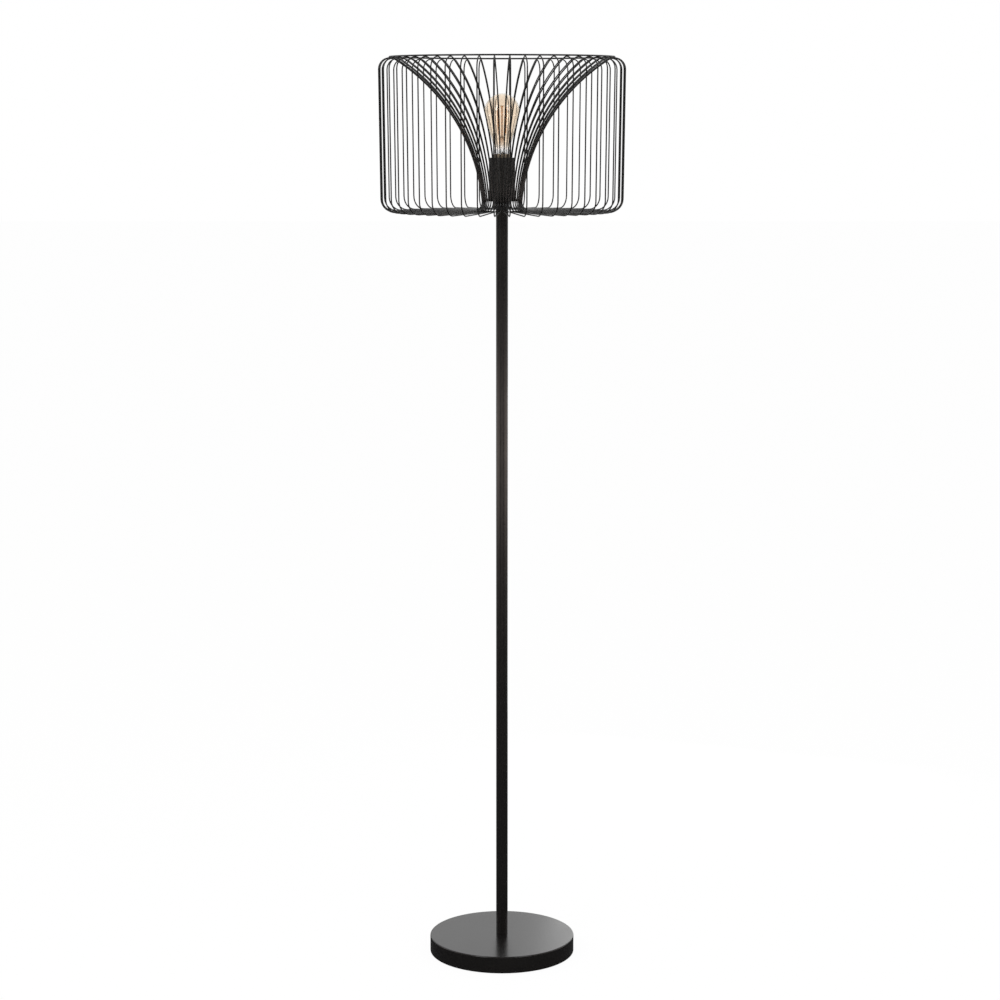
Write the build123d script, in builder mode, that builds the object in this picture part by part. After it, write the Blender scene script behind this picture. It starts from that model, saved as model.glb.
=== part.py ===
"""Wire cage floor lamp, in millimetres, +Z up, standing on Z = 0 with its pole on the Z axis.

The front is -Y. The cable bush is at the rear, on the +Y side of the foot.
"""

import os
from math import cos, degrees, pi, radians, sin, sqrt, tan

from build123d import *

os.makedirs("parts", exist_ok=True)

# ---------------------------------------------------------------- driving sizes
total_height = 1690.0

# Foot
foot_radius = 137.0
foot_height = 32.0
foot_sheet = 1.2
foot_edge = 1.6
pad_stand_off = 2.0
pad_sheet = 3.2
pad_inset = 8.0
weight_web = 7.0
weight_pocket_radius = 19.0
channel_width = 8.0
notch_width = 16.0
notch_depth = 14.0

# Pole
tube_radius = 11.0
tube_wall = 1.2
section_count = 3
insert_length = 14.0
collar_radius = 11.9
collar_height = 26.6

# Hollow M10 threads with their nuts and washers
thread_radius = 5.0
thread_bore = 3.5
stud_end = 1.2
nut_across_flats = 17.0
nut_height = 4.0
washer_radius = 15.0
washer_sheet = 1.6

# Cage
wire_count = 48
wire_diameter = 2.4
cage_radius = 225.0
cage_height = 280.0
neck_radius = 36.4
run_lean = 0.65
funnel_slope = 34.5
neck_slope = 84.0
floor_slope = 1.0
shoulder_radius = 20.0
funnel_radius = 340.0
neck_bend_radius = 15.0
floor_bend_radius = 24.0
ring_wire_diameter = 3.0
plate_lift = 21.2
plate_sheet = 4.3

# Lamp holder
sleeve_radius = 24.0
sleeve_sheet = 1.0
sleeve_height = 74.1
holder_radius = 19.5
holder_wall = 2.0
holder_drop = 2.0
holder_floor = 6.0
boss_radius = 9.0
boss_height = 10.0
shell_sheet = 0.4
shell_height = 20.0
tongue_sheet = 0.6
tongue_width = 6.0
terminal_radius = 2.0
terminal_length = 6.0
terminal_spread = 10.0

# Bulb
bulb_radius = 32.0
bulb_length = 139.0
bulb_wall = 0.9
bulb_flank = 16.2
bulb_neck_radius = 13.4
cap_radius = 13.1
cap_rim_radius = 14.4
cap_rim_height = 7.0
cap_sheet = 0.4
cap_show = 6.8
cap_height = 27.0
insulator_radius = 10.5
insulator_height = 2.0
tip_radius = 5.0
tip_height = 1.0
stem_radius = 3.4
stem_height = 36.0
rod_radius = 1.2
rod_height = 58.0
filament_count = 6
filament_width = 1.8
filament_circle = 9.0
filament_length = 52.0
support_wire = 0.7

# Inner lead and cable bush
lead_radius = 2.0
lead_tail = 8.0
bush_level = 10.5
bush_flange_radius = 6.5
bush_flange = 2.5
bush_neck_radius = 4.7
bush_nose = 5.0
bush_bore = 3.2

# Clearances
press_gap = 0.05
slip_gap = 0.1
seat_gap = 0.3
side_gap = 0.5

# Counts of flats: round the pad, the small round pieces and the glass, and down the dome
pad_side_count = 48
small_side_count = 12
glass_side_count = 24
dome_side_count = 5

# ---------------------------------------------------------------- derived levels
foot_top = pad_stand_off + foot_height
weight_top = foot_top - foot_sheet
web_bottom = weight_top - weight_web
foot_nut_bottom = web_bottom - washer_sheet - nut_height

ring_side = ring_wire_diameter * sqrt(pi) / 2
wire_side = wire_diameter * sqrt(pi) / 2
shoulder_top = total_height - ring_side
plate_bottom = shoulder_top - cage_height + plate_lift
plate_top = plate_bottom + plate_sheet
pole_top = plate_bottom - collar_height
section_length = (pole_top - foot_top) / section_count
section_ends = [foot_top + i * section_length for i in range(section_count + 1)]

sleeve_top = plate_top + sleeve_height
sleeve_floor = plate_top + sleeve_sheet
head_nut_bottom = sleeve_floor + washer_sheet
head_nut_top = head_nut_bottom + nut_height
cap_top = sleeve_top + cap_show
cap_bottom = cap_top - cap_height
cap_step = cap_top - cap_rim_height
tip_top = cap_bottom - insulator_height
tip_bottom = tip_top - tip_height
core_floor = tip_bottom - slip_gap - tongue_sheet
core_bottom = core_floor - holder_floor
core_top = sleeve_top - holder_drop
glass_top = tip_bottom + bulb_length

thread_hole = thread_radius + press_gap
free_hole = thread_radius + slip_gap
insert_radius = tube_radius - tube_wall - press_gap
socket_radius = cap_radius + seat_gap


def small_round(outer, inner=0.0):
    """The section of a small round piece, drawn with flats, as a ring if it has an inner radius."""
    RegularPolygon(outer, small_side_count)
    if inner:
        RegularPolygon(inner, small_side_count, mode=Mode.SUBTRACT)


def crossing(first, second):
    """Where two lines cross, each given by a point and its angle in degrees."""
    (start, angle), (other, other_angle) = first, second
    u = Vector(cos(radians(angle)), sin(radians(angle)))
    v = Vector(cos(radians(other_angle)), sin(radians(other_angle)))
    gap = other - start
    return start + u * ((gap.X * v.Y - gap.Y * v.X) / (u.X * v.Y - u.Y * v.X))


def bend(before, corner, after, radius, flats):
    """The corner rounded by flats that all touch the round bend from outside."""
    back = (before - corner).normalized()
    ahead = (after - corner).normalized()
    half = radians(back.get_angle(ahead)) / 2
    centre = corner + (back + ahead).normalized() * (radius / sin(half))
    step = (180 - 2 * degrees(half)) / flats
    side = 1 if back.X * ahead.Y < back.Y * ahead.X else -1
    spoke = (corner + back * (radius / tan(half)) - centre) / cos(radians(step / 2))
    return [centre + spoke.rotate(Axis.Z, side * step * (i + 0.5)) for i in range(flats)]


# ---------------------------------------------------------------- foot
with BuildPart() as base_pan:
    with BuildSketch(Plane.XZ):
        with BuildLine():
            Polyline(
                (free_hole, foot_top),
                (foot_radius - foot_edge, foot_top),
                (foot_radius, foot_top - foot_edge),
                (foot_radius, pad_stand_off),
                (foot_radius - foot_sheet, pad_stand_off),
                (foot_radius - foot_sheet, weight_top),
                (free_hole, weight_top),
                close=True,
            )
        make_face()
    revolve(axis=Axis.Z)
    with BuildSketch(Plane.XZ.offset(-foot_radius)):
        with Locations((0, bush_level)):
            small_round(bush_neck_radius + slip_gap)
    extrude(amount=2 * foot_sheet, mode=Mode.SUBTRACT)
base_pan.part.label = "base_pan"
export_step(base_pan.part, "parts/base_pan.step")

# Two like half-round castings. The cable runs in the channel between them.
weight_radius = foot_radius - foot_sheet - side_gap
with BuildPart() as base_weight:
    with BuildSketch(Plane.XY.offset(pad_sheet)):
        Circle(weight_radius)
        Rectangle(channel_width, 2 * weight_radius, mode=Mode.SUBTRACT)
        with Locations((0, weight_radius), (0, -weight_radius)):
            Rectangle(notch_width, 2 * notch_depth, mode=Mode.SUBTRACT)
    extrude(amount=weight_top - pad_sheet)
    with BuildSketch(Plane.XY.offset(pad_sheet)):
        Circle(weight_pocket_radius)
    extrude(amount=web_bottom - pad_sheet, mode=Mode.SUBTRACT)
    with BuildSketch(Plane.XY.offset(web_bottom)):
        small_round(thread_radius + side_gap)
    extrude(amount=weight_web, mode=Mode.SUBTRACT)
base_weight.part.label = "base_weight"
export_step(base_weight.part, "parts/base_weight.step")

with BuildPart() as base_pad:
    with BuildSketch(Plane.XY):
        RegularPolygon(foot_radius - pad_inset, pad_side_count)
    extrude(amount=pad_sheet)
base_pad.part.label = "base_pad"
export_step(base_pad.part, "parts/base_pad.step")

with BuildPart() as cable_bush:
    with BuildSketch(Plane.XZ.offset(-foot_radius - slip_gap)):
        with Locations((0, bush_level)):
            small_round(bush_flange_radius, bush_bore)
    extrude(amount=-bush_flange)
    with BuildSketch(Plane.XZ.offset(-foot_radius - slip_gap)):
        with Locations((0, bush_level)):
            small_round(bush_neck_radius, bush_bore)
    extrude(amount=foot_sheet + bush_nose)
cable_bush.part.label = "cable_bush"
export_step(cable_bush.part, "parts/cable_bush.step")

# ---------------------------------------------------------------- pole
pole_names = ("pole_lower", "pole_middle", "pole_upper")
for name, bottom in zip(pole_names, section_ends):
    with BuildPart() as pole_section:
        with BuildSketch(Plane.XY.offset(bottom)):
            Circle(tube_radius)
            Circle(tube_radius - tube_wall, mode=Mode.SUBTRACT)
        extrude(amount=section_length)
    pole_section.part.label = name
    export_step(pole_section.part, f"parts/{name}.step")

with BuildPart() as pole_inserts:
    for bottom, top in zip(section_ends, section_ends[1:]):
        for level in (bottom, top - insert_length):
            with BuildSketch(Plane.XY.offset(level)):
                small_round(insert_radius, thread_hole)
            extrude(amount=insert_length - slip_gap)
pole_inserts.part.label = "pole_inserts"
export_step(pole_inserts.part, "parts/pole_inserts.step")

nipple_grip = insert_length - stud_end
nipple_spans = [
    (foot_nut_bottom - stud_end, foot_top + nipple_grip),
    *((end - nipple_grip, end + nipple_grip) for end in section_ends[1:-1]),
    (pole_top - nipple_grip, head_nut_top + boss_height - stud_end),
]
with BuildPart() as threaded_nipples:
    for bottom, top in nipple_spans:
        with BuildSketch(Plane.XY.offset(bottom)):
            small_round(thread_radius, thread_bore)
        extrude(amount=top - bottom)
threaded_nipples.part.label = "threaded_nipples"
export_step(threaded_nipples.part, "parts/threaded_nipples.step")

with BuildPart() as hex_nuts:
    for level in (foot_nut_bottom, head_nut_bottom):
        with BuildSketch(Plane.XY.offset(level)):
            RegularPolygon(nut_across_flats / 2, 6, major_radius=False)
            RegularPolygon(thread_hole, small_side_count, mode=Mode.SUBTRACT)
        extrude(amount=nut_height)
hex_nuts.part.label = "hex_nuts"
export_step(hex_nuts.part, "parts/hex_nuts.step")

with BuildPart() as flat_washers:
    for level in (web_bottom - washer_sheet, sleeve_floor):
        with BuildSketch(Plane.XY.offset(level)):
            small_round(washer_radius, free_hole)
        extrude(amount=washer_sheet)
flat_washers.part.label = "flat_washers"
export_step(flat_washers.part, "parts/flat_washers.step")

with BuildPart() as pole_collar:
    with BuildSketch(Plane.XY.offset(pole_top)):
        Circle(collar_radius)
        RegularPolygon(free_hole, small_side_count, mode=Mode.SUBTRACT)
    extrude(amount=collar_height)
pole_collar.part.label = "pole_collar"
export_step(pole_collar.part, "parts/pole_collar.step")

# ---------------------------------------------------------------- cage
# One wire lies in a radial plane. Its centreline is five straight lines whose crossings are
# rounded: the outer run, the level seat of the ring, the trumpet curve of the funnel between
# its slope and the steep neck, and the floor.
shoulder = Vector(cage_radius - wire_side / 2, shoulder_top - wire_side / 2)
shoulder_centre = shoulder - Vector(shoulder_radius, shoulder_radius)
outer_run = (shoulder_centre + Vector(shoulder_radius, 0).rotate(Axis.Z, -run_lean), 90 - run_lean)
ring_seat = (shoulder, 0)
funnel_run = (shoulder_centre + Vector(0, shoulder_radius).rotate(Axis.Z, funnel_slope), funnel_slope)
neck_run = (Vector(neck_radius, plate_bottom), neck_slope)
floor_run = (shoulder - Vector(0, cage_height - wire_side), -floor_slope)

wire_runs = (outer_run, ring_seat, funnel_run, neck_run, floor_run)
wire_bends = (
    (shoulder_radius, 3),
    (shoulder_radius, 1),
    (funnel_radius, 5),
    (neck_bend_radius, 3),
    (floor_bend_radius, 3),
)
corners = [crossing(run, wire_runs[i - 4]) for i, run in enumerate(wire_runs)]
wire_path = []
for i, (radius, flats) in enumerate(wire_bends):
    wire_path += bend(corners[i - 1], corners[i], corners[i - 4], radius, flats)

with BuildPart() as wire_loop:
    with BuildSketch(Plane.XZ):
        with BuildLine():
            Polyline(*wire_path, close=True)
        make_face()
        offset(amount=wire_side / 2, kind=Kind.INTERSECTION)
        offset(amount=-wire_side, kind=Kind.INTERSECTION, mode=Mode.SUBTRACT)
    extrude(amount=wire_side / 2, both=True)

with BuildPart() as cage_wires:
    with PolarLocations(0, wire_count, start_angle=180 / wire_count):
        add(wire_loop.part)
cage_wires.part.label = "cage_wires"
export_step(cage_wires.part, "parts/cage_wires.step")

# The ring and the plate have one flat for each wire that is welded to them.
with BuildPart() as cage_top_ring:
    with BuildSketch(Plane.XY.offset(shoulder_top)):
        RegularPolygon(shoulder_centre.X + ring_side / 2, wire_count, major_radius=False)
        RegularPolygon(
            shoulder_centre.X - ring_side / 2, wire_count, major_radius=False, mode=Mode.SUBTRACT
        )
    extrude(amount=ring_side)
cage_top_ring.part.label = "cage_top_ring"
export_step(cage_top_ring.part, "parts/cage_top_ring.step")

plate_reach = neck_radius - wire_side / 2 / sin(radians(neck_slope)) - slip_gap
with BuildPart() as fitter_plate:
    with BuildSketch(Plane.XY.offset(plate_bottom)):
        RegularPolygon(plate_reach, wire_count, major_radius=False)
        RegularPolygon(free_hole, small_side_count, mode=Mode.SUBTRACT)
    extrude(amount=plate_sheet)
fitter_plate.part.label = "fitter_plate"
export_step(fitter_plate.part, "parts/fitter_plate.step")

# ---------------------------------------------------------------- lamp holder
with BuildPart() as holder_sleeve:
    with BuildSketch(Plane.XY.offset(plate_top)):
        Circle(sleeve_radius)
    extrude(amount=sleeve_height)
    with BuildSketch(Plane.XY.offset(sleeve_floor)):
        Circle(sleeve_radius - sleeve_sheet)
    extrude(amount=sleeve_height, mode=Mode.SUBTRACT)
    with BuildSketch(Plane.XY.offset(plate_top)):
        RegularPolygon(free_hole, small_side_count)
    extrude(amount=sleeve_sheet, mode=Mode.SUBTRACT)
holder_sleeve.part.label = "holder_sleeve"
export_step(holder_sleeve.part, "parts/holder_sleeve.step")

boss_top = head_nut_top + boss_height
with BuildPart() as holder_base:
    with BuildSketch(Plane.XY.offset(head_nut_top)):
        small_round(boss_radius, thread_hole)
    extrude(amount=boss_height)
    with BuildSketch(Plane.XY.offset(boss_top)):
        small_round(holder_radius, thread_hole)
    extrude(amount=holder_wall)
    with BuildSketch(Plane.XY.offset(boss_top + holder_wall)):
        small_round(holder_radius, holder_radius - holder_wall)
    extrude(amount=core_bottom - boss_top - holder_wall)
holder_base.part.label = "holder_base"
export_step(holder_base.part, "parts/holder_base.step")

with BuildPart() as holder_core:
    with BuildSketch(Plane.XY.offset(core_bottom)):
        small_round(holder_radius)
    extrude(amount=core_top - core_bottom)
    with BuildSketch(Plane.XY.offset(core_floor)):
        small_round(socket_radius + shell_sheet + press_gap)
    extrude(amount=core_top - core_floor, mode=Mode.SUBTRACT)
holder_core.part.label = "holder_core"
export_step(holder_core.part, "parts/holder_core.step")

with BuildPart() as holder_shell:
    with BuildSketch(Plane.XY.offset(core_floor)):
        small_round(socket_radius + shell_sheet, socket_radius)
    extrude(amount=shell_height)
holder_shell.part.label = "holder_shell"
export_step(holder_shell.part, "parts/holder_shell.step")

with BuildPart() as centre_contact:
    with BuildSketch(Plane.XY.offset(core_floor)):
        Rectangle(2 * tip_radius, tongue_width)
    extrude(amount=tongue_sheet)
centre_contact.part.label = "centre_contact"
export_step(centre_contact.part, "parts/centre_contact.step")

with BuildPart() as terminal_screws:
    with BuildSketch(Plane.XY.offset(core_bottom - terminal_length)):
        with PolarLocations(terminal_spread, 2):
            RegularPolygon(terminal_radius, small_side_count)
    extrude(amount=terminal_length)
terminal_screws.part.label = "terminal_screws"
export_step(terminal_screws.part, "parts/terminal_screws.step")

with BuildPart() as inner_lead:
    with BuildSketch(Plane.XY.offset(foot_nut_bottom - lead_tail)):
        small_round(lead_radius)
    extrude(amount=core_bottom - seat_gap - foot_nut_bottom + lead_tail)
inner_lead.part.label = "inner_lead"
export_step(inner_lead.part, "parts/inner_lead.step")

# ---------------------------------------------------------------- bulb
with BuildPart() as bulb_cap:
    with BuildSketch(Plane.XY.offset(cap_bottom)):
        small_round(cap_radius, cap_radius - cap_sheet)
    extrude(amount=cap_height - cap_rim_height)
    with BuildSketch(Plane.XY.offset(cap_step - cap_sheet)):
        small_round(cap_rim_radius, cap_radius - cap_sheet)
    extrude(amount=cap_sheet)
    with BuildSketch(Plane.XY.offset(cap_step)):
        small_round(cap_rim_radius, cap_rim_radius - cap_sheet)
    extrude(amount=cap_rim_height)
bulb_cap.part.label = "bulb_cap"
export_step(bulb_cap.part, "parts/bulb_cap.step")

with BuildPart() as cap_insulator:
    with BuildSketch(Plane.XY.offset(tip_top)):
        small_round(insulator_radius)
    extrude(amount=insulator_height)
cap_insulator.part.label = "cap_insulator"
export_step(cap_insulator.part, "parts/cap_insulator.step")

with BuildPart() as cap_tip:
    with BuildSketch(Plane.XY.offset(tip_bottom)):
        small_round(tip_radius)
    extrude(amount=tip_height)
cap_tip.part.label = "cap_tip"
export_step(cap_tip.part, "parts/cap_tip.step")


def glass_outline(inset):
    """The bulb's outline this far inside its surface: top, dome of flats, straight flank and neck."""
    radius = bulb_radius - inset
    centre = Vector(0, glass_top - bulb_radius)
    step = (90 + bulb_flank) / dome_side_count
    spoke = Vector(0, radius / cos(radians(step / 2)))
    dome = [centre + spoke.rotate(Axis.Z, -step * (i + 0.5)) for i in range(dome_side_count)]
    flank = (centre + Vector(0, radius).rotate(Axis.Z, -90 - bulb_flank), 90 - bulb_flank)
    neck = Vector(bulb_neck_radius - inset, cap_step + seat_gap)
    return [centre + Vector(0, radius), *dome, crossing(flank, (neck, 90)), neck]


# The glass has flat sides: one slice as wide as a flat, repeated all the way round.
with BuildPart() as glass_slice:
    with BuildSketch(Plane.XZ):
        with BuildLine():
            Polyline(*glass_outline(0), *reversed(glass_outline(bulb_wall)), close=True)
        make_face()
    extrude(amount=bulb_radius, both=True)
    with BuildSketch(Plane.XY.offset(cap_step)):
        half_flat = 2 * bulb_radius * tan(radians(180 / glass_side_count))
        with BuildLine():
            Polyline((0, 0), (2 * bulb_radius, half_flat), (2 * bulb_radius, -half_flat), close=True)
        make_face()
    extrude(amount=bulb_length, mode=Mode.INTERSECT)

with BuildPart() as bulb_glass:
    with PolarLocations(0, glass_side_count):
        add(glass_slice.part)
bulb_glass.part.label = "bulb_glass"
export_step(bulb_glass.part, "parts/bulb_glass.step")

stem_bottom = cap_step + seat_gap
stem_top = stem_bottom + stem_height
rod_top = stem_top + rod_height
with BuildPart() as bulb_stem:
    with BuildSketch(Plane.XY.offset(stem_bottom)):
        small_round(bulb_neck_radius - bulb_wall - slip_gap)
    extrude(amount=bulb_wall)
    with BuildSketch(Plane.XY.offset(stem_bottom)):
        small_round(stem_radius)
    extrude(amount=stem_height)
    with BuildSketch(Plane.XY.offset(stem_top)):
        small_round(rod_radius)
    extrude(amount=rod_height)
bulb_stem.part.label = "bulb_stem"
export_step(bulb_stem.part, "parts/bulb_stem.step")

filament_top = rod_top - 2 * support_wire
with BuildPart() as bulb_filaments:
    with BuildSketch(Plane.XY.offset(filament_top - filament_length)):
        with PolarLocations(filament_circle, filament_count, start_angle=180 / filament_count):
            Rectangle(filament_width, filament_width)
    extrude(amount=filament_length)
bulb_filaments.part.label = "bulb_filaments"
export_step(bulb_filaments.part, "parts/bulb_filaments.step")

# One spoke above and one below each filament, from the glass rod out to the filament.
spoke_start = rod_radius + press_gap
spoke_length = filament_circle + filament_width / 2 - spoke_start
spoke_middle = spoke_start + spoke_length / 2
with BuildPart() as filament_supports:
    for level in (filament_top - filament_length - support_wire, filament_top):
        with BuildSketch(Plane.XY.offset(level)):
            with PolarLocations(spoke_middle, filament_count, start_angle=180 / filament_count):
                Rectangle(spoke_length, support_wire)
        extrude(amount=support_wire)
filament_supports.part.label = "filament_supports"
export_step(filament_supports.part, "parts/filament_supports.step")
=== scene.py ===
"""Looks of the wire cage floor lamp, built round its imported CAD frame.

Lengths are in millimetres, unless they say metres. A mesh is turned to metres once, where its piece is made.
The lamp stands on Z = 0 with its pole on the Z axis, and the camera looks at it from -Y.

A profile is an array of complex numbers, radius + height * 1j. Its corners are rows of radius, height
and the radius of the arc that rounds the corner.
"""

import logging
import math
from collections.abc import Sequence
from dataclasses import dataclass, field
from enum import Enum
from typing import Any

import bmesh
import bpy
import numpy as np
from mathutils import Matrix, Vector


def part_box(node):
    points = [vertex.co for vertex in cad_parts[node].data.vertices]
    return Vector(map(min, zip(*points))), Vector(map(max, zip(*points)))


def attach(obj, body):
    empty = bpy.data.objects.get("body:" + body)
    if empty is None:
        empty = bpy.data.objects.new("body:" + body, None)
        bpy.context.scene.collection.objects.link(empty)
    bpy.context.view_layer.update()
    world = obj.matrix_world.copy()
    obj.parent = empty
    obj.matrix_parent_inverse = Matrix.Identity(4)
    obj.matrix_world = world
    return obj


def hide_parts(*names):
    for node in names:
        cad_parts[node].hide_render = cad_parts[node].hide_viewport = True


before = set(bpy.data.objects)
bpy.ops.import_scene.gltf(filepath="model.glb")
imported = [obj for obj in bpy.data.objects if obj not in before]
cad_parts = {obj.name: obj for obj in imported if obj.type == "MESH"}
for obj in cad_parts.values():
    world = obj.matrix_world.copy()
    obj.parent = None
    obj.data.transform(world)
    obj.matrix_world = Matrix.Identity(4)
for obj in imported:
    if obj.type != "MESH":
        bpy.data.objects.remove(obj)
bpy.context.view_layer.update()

MM = 0.001
MERGE_DISTANCE = 1e-6  # metres: points nearer to each other than this become one
SHARP_CORNER = 1e-5  # millimetres: the radius that stands for none
NEAR_POINTS = 1e-3  # millimetres: points nearer to each other than this give no direction
WHITE = (1.0, 1.0, 1.0, 1.0)
SOFT_STEP = {"interpolation_type": "SMOOTHSTEP"}
LARGER = {"operation": "MAXIMUM"}
CLOUDY = (0.3, 0.7)  # the levels between which most of a noise texture lies
WANDER = 0.6  # how fast the roughness wanders, as a share of the mottling's pace
WAVE_RATE = 20  # the radians per metre of a wave texture at a scale of 1

Corners = Sequence[tuple[float, float, float]] | np.ndarray
Inputs = dict[Any, Any] | Sequence[Any]
Tree = bpy.types.NodeTree
Socket = bpy.types.NodeSocket

log = logging.getLogger("floor_lamp")


class Body(Enum):
    """The moving bodies of the CAD frame."""

    LAMP = "lamp"
    BULB = "bulb"


class Slot(Enum):
    """The record's material slots."""

    BLACK_ENAMEL = "black_enamel"
    ZINC_STEEL = "zinc_steel"
    CEMENT = "cement"
    RUBBER = "rubber"
    BLACK_PLASTIC = "black_plastic"
    BRASS = "brass"
    LEAD_JACKET = "lead_jacket"
    NICKEL_CAP = "nickel_cap"
    CAP_GLASS = "cap_glass"
    SOLDER = "solder"
    AMBER_GLASS = "amber_glass"
    CLEAR_GLASS = "clear_glass"
    FILAMENT = "filament_coating"
    NICKEL_WIRE = "nickel_wire"


def heights_of(node: str) -> tuple[float, float]:
    """The lowest and the highest point of a CAD node, in millimetres."""
    low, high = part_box(node)
    return low.z / MM, high.z / MM


# ---------------------------------------------------------------- surfaces


@dataclass
class Surface:
    """A mesh as whole arrays.

    Args:
        points: One row of X, Y, Z per point, in millimetres.
        quads: One row of four point numbers per face.
    """

    points: np.ndarray
    quads: np.ndarray

    def __add__(self, other: "Surface") -> "Surface":
        """Both surfaces as one."""
        quads = np.vstack([self.quads, other.quads + len(self.points)])
        return Surface(np.vstack([self.points, other.points]), quads)

    def flipped(self) -> "Surface":
        """The surface with its faces turned over."""
        return Surface(self.points, self.quads[:, ::-1])

    def moved(self, x: float = 0.0, z: float = 0.0) -> "Surface":
        """The surface moved by this much."""
        return Surface(self.points + np.array([x, 0.0, z]), self.quads)

    def around_z(self, count: int, start: float) -> "Surface":
        """Copies of the surface at even turns about the Z axis.

        Args:
            count: The number of copies.
            start: The first copy's turn, in degrees.

        Returns:
            One surface that holds all the copies.
        """
        turn = np.exp(1j * (np.radians(start) + 2 * np.pi * np.arange(count) / count))
        flat = turn[:, None] * (self.points[:, 0] + 1j * self.points[:, 1])[None, :]
        high = np.broadcast_to(self.points[:, 2], flat.shape)
        points = np.stack([flat.real, flat.imag, high], -1).reshape(-1, 3)
        quads = self.quads[None] + (np.arange(count) * len(self.points))[:, None, None]
        return Surface(points, quads.reshape(-1, 4))

    def volume(self) -> float:
        """The signed volume: a sixth of the sum of each face's corner determinants.

        Returns:
            The volume, positive if the faces point out.
        """
        a, b, c, d = (self.points[self.quads[:, i]] for i in range(4))
        first = np.einsum("ij,ij->i", a, np.cross(b, c))
        second = np.einsum("ij,ij->i", a, np.cross(c, d))
        return float((first + second).sum() / 6)


def grid(points: np.ndarray, close_rows: bool = False) -> Surface:
    """A surface from a grid of points: each cell between neighbours becomes a quad.

    The last column is joined to the first.

    Args:
        points: The points, with the shape rows by columns by 3.
        close_rows: Joins the last row to the first too.

    Returns:
        The surface, with its faces turned outwards if it encloses space.
    """
    rows, columns = points.shape[:2]
    i = np.arange(rows if close_rows else rows - 1)[:, None]
    j = np.arange(columns)[None, :]
    below, beside = (i + 1) % rows, (j + 1) % columns
    corners = (i * columns + j, i * columns + beside, below * columns + beside, below * columns + j)
    quads = np.stack(np.broadcast_arrays(*corners), -1).reshape(-1, 4)
    made = Surface(points.reshape(-1, 3), quads)
    return made if made.volume() >= 0 else made.flipped()


def rounded(corners: Corners, steps: int, closed: bool = True) -> np.ndarray:
    """A profile with its corners rounded by arcs.

    At each corner the arc's centre lies on the bisector, and the arc is the spoke to its first
    point turned by even shares of the sweep.

    Args:
        corners: Radius, height and rounding of each corner.
        steps: The number of flats in each arc.
        closed: Whether the profile is a closed loop. An open one keeps its two ends sharp.

    Returns:
        The rounded profile.
    """
    radius, height, rounding = np.array(corners, float).T
    corner, rounding = radius + 1j * height, np.maximum(rounding, SHARP_CORNER)
    back, ahead = np.roll(corner, 1) - corner, np.roll(corner, -1) - corner
    back, ahead = back / abs(back), ahead / abs(ahead)
    half = abs(np.angle(ahead / back)) / 2
    reach = rounding / np.tan(half)
    centre = corner + (back + ahead) / abs(back + ahead) * rounding / np.sin(half)
    first, last = corner + back * reach - centre, corner + ahead * reach - centre
    sweep = np.angle(last / first)
    share = np.linspace(0, 1, steps + 1)
    arcs = centre[:, None] + first[:, None] * np.exp(1j * sweep[:, None] * share[None, :])
    if closed:
        return arcs.reshape(-1)
    return np.concatenate([corner[:1], arcs[1:-1].reshape(-1), corner[-1:]])


def lathe(
    profile: np.ndarray, segments: int, closed: bool = True, relief: np.ndarray | float = 0.0
) -> Surface:
    """A profile turned about the Z axis.

    A point is ((radius + relief) cos a, (radius + relief) sin a, height) for even angles a.

    Args:
        profile: The profile that is turned.
        segments: The number of angles.
        closed: Whether the profile is a closed loop. An open one starts and ends on the axis.
        relief: What is added to the radius, as rows of profile points by columns of angles.

    Returns:
        The closed surface.
    """
    angle = 2 * np.pi * np.arange(segments) / segments
    radius = profile.real[:, None] + np.broadcast_to(relief, (len(profile), segments))
    height = np.broadcast_to(profile.imag[:, None], radius.shape)
    points = np.stack([radius * np.cos(angle), radius * np.sin(angle), height], -1)
    return grid(points, close_rows=closed)


def hollow(outer: float, inner: float, heights: tuple[float, float], edge: float, segments: int) -> Surface:
    """A tube: a rectangle with its corners rounded, turned about the Z axis.

    Args:
        outer: The outer radius.
        inner: The inner radius.
        heights: The heights of its two ends.
        edge: The rounding of its edges.
        segments: The number of flats round it.

    Returns:
        The closed surface.
    """
    bottom, top = heights
    corners = [(inner, top, edge), (outer, top, edge), (outer, bottom, edge), (inner, bottom, edge)]
    return lathe(rounded(corners, 4), segments)


def tube(path: np.ndarray, radius: np.ndarray | float, sides: int) -> Surface:
    """A round rod along an open path, closed at both ends.

    Each point is the path plus radius times (side cos t + other side sin t), where both sides are
    square to the path. The end rings shrink to a point, so the rod is closed.

    Args:
        path: The centreline's points, one row of X, Y, Z each.
        radius: The rod's radius, the same all along or one per point.
        sides: The number of points round the rod.

    Returns:
        The closed surface.
    """
    ahead = np.gradient(path, axis=0)
    ahead /= np.linalg.norm(ahead, axis=1)[:, None]
    flattest = int(np.argmin(np.ptp(path, axis=0)))
    side = np.cross(ahead, np.eye(3)[flattest])
    side /= np.linalg.norm(side, axis=1)[:, None]
    other = np.cross(ahead, side)
    rows = np.concatenate([[0], np.arange(len(path)), [len(path) - 1]])
    size = np.broadcast_to(np.asarray(radius, float), len(path))
    size = np.concatenate([[0.0], size, [0.0]])[:, None, None]
    t = (2 * np.pi * np.arange(sides) / sides)[None, :, None]
    ring = side[rows][:, None] * np.cos(t) + other[rows][:, None] * np.sin(t)
    return grid(path[rows][:, None] + size * ring)


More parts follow.
